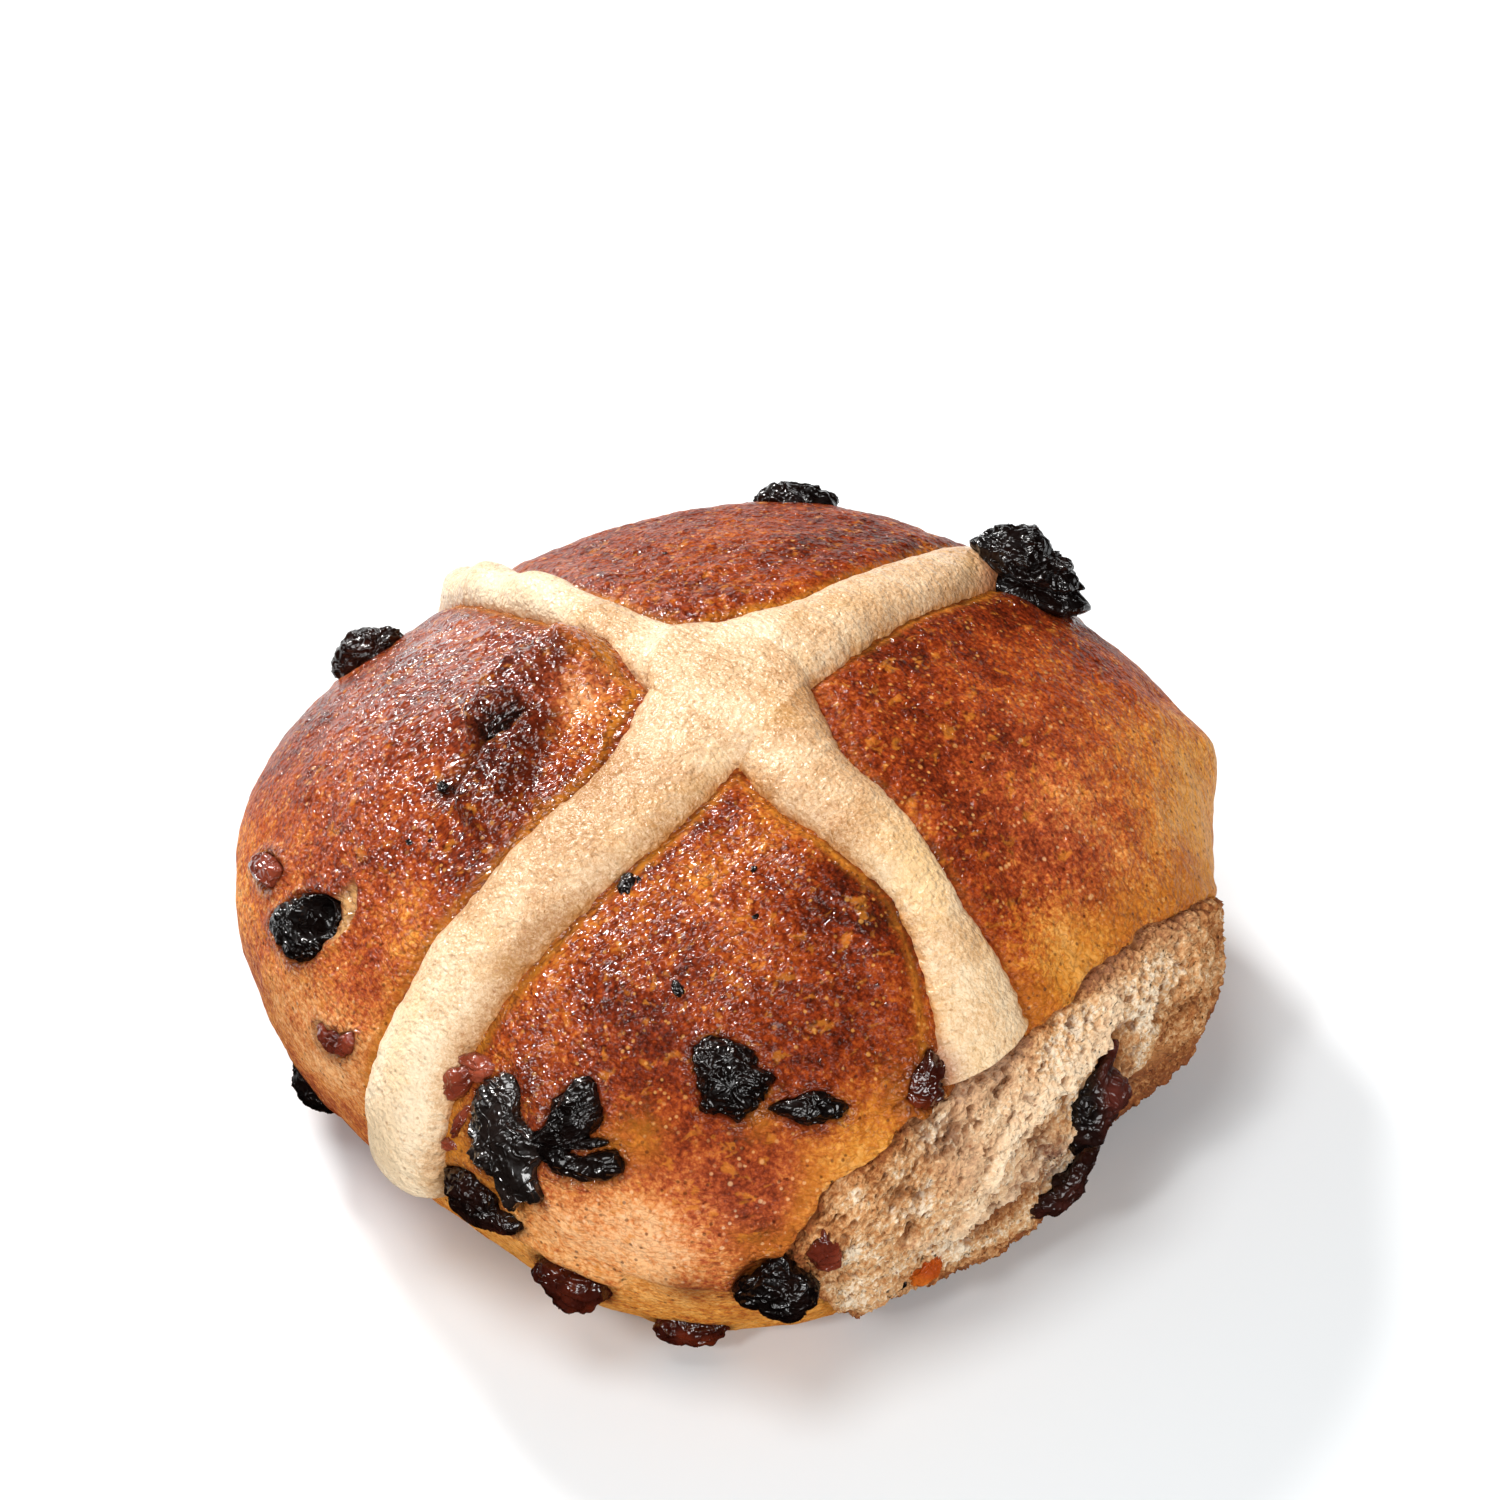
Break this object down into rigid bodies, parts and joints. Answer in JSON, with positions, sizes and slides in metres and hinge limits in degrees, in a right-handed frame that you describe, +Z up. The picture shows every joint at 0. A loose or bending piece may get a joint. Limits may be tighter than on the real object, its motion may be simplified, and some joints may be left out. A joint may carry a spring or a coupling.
{
  "type": "hot cross bun",
  "caption": "Round spiced fruit bun with a glazed brown crust, a piped flour-paste cross, raisins set in the crust and one torn side of bare crumb.",
  "frame": {"origin": "middle of the bounding box in plan, on the flat base that the bun rests on", "axes": "+Z up out of the dome, +X to the torn side, and the cross's arms run along -Y, +X, +Y and -X"},
  "size_m": [0.0884, 0.0916, 0.0464],
  "materials": {
    "crust": "glazed baked crust, golden brown to dark red-brown, with bare matt crumb on the torn side",
    "cross": "matt baked flour paste, cream with fine brown stipple",
    "raisin_dark": "wrinkled glossy near-black dried fruit",
    "raisin_amber": "wrinkled glossy red-brown dried fruit, a little translucent",
    "peel": "candied orange peel"
  },
  "bodies": {
    "root": {"bun": "crust", "cross": "cross", "raisin_front": "raisin_dark", "raisin_front_lens": "raisin_dark", "raisin_corner": "raisin_dark", "raisin_front_left_a": "raisin_dark", "raisin_front_left_b": "raisin_dark", "raisin_below_left": "raisin_dark", "raisin_left_crater": "raisin_dark", "raisin_left_bottom": "raisin_dark", "raisin_left_back": "raisin_dark", "raisin_back_top": "raisin_dark", "raisin_top_right": "raisin_dark", "raisin_crumb": "raisin_dark", "raisin_rear_left": "raisin_dark", "raisin_rear_mid": "raisin_dark", "raisin_rear_right": "raisin_dark", "raisin_by_cross": "raisin_amber", "raisin_corner_red": "raisin_amber", "raisin_left_chip": "raisin_amber", "raisin_left_lower": "raisin_amber", "raisin_bottom_amber": "raisin_amber", "raisin_bottom_edge": "raisin_amber", "raisin_base_right": "raisin_amber", "raisin_rear_low": "raisin_amber", "peel_bottom": "peel"}
  },
  "joints": []
}
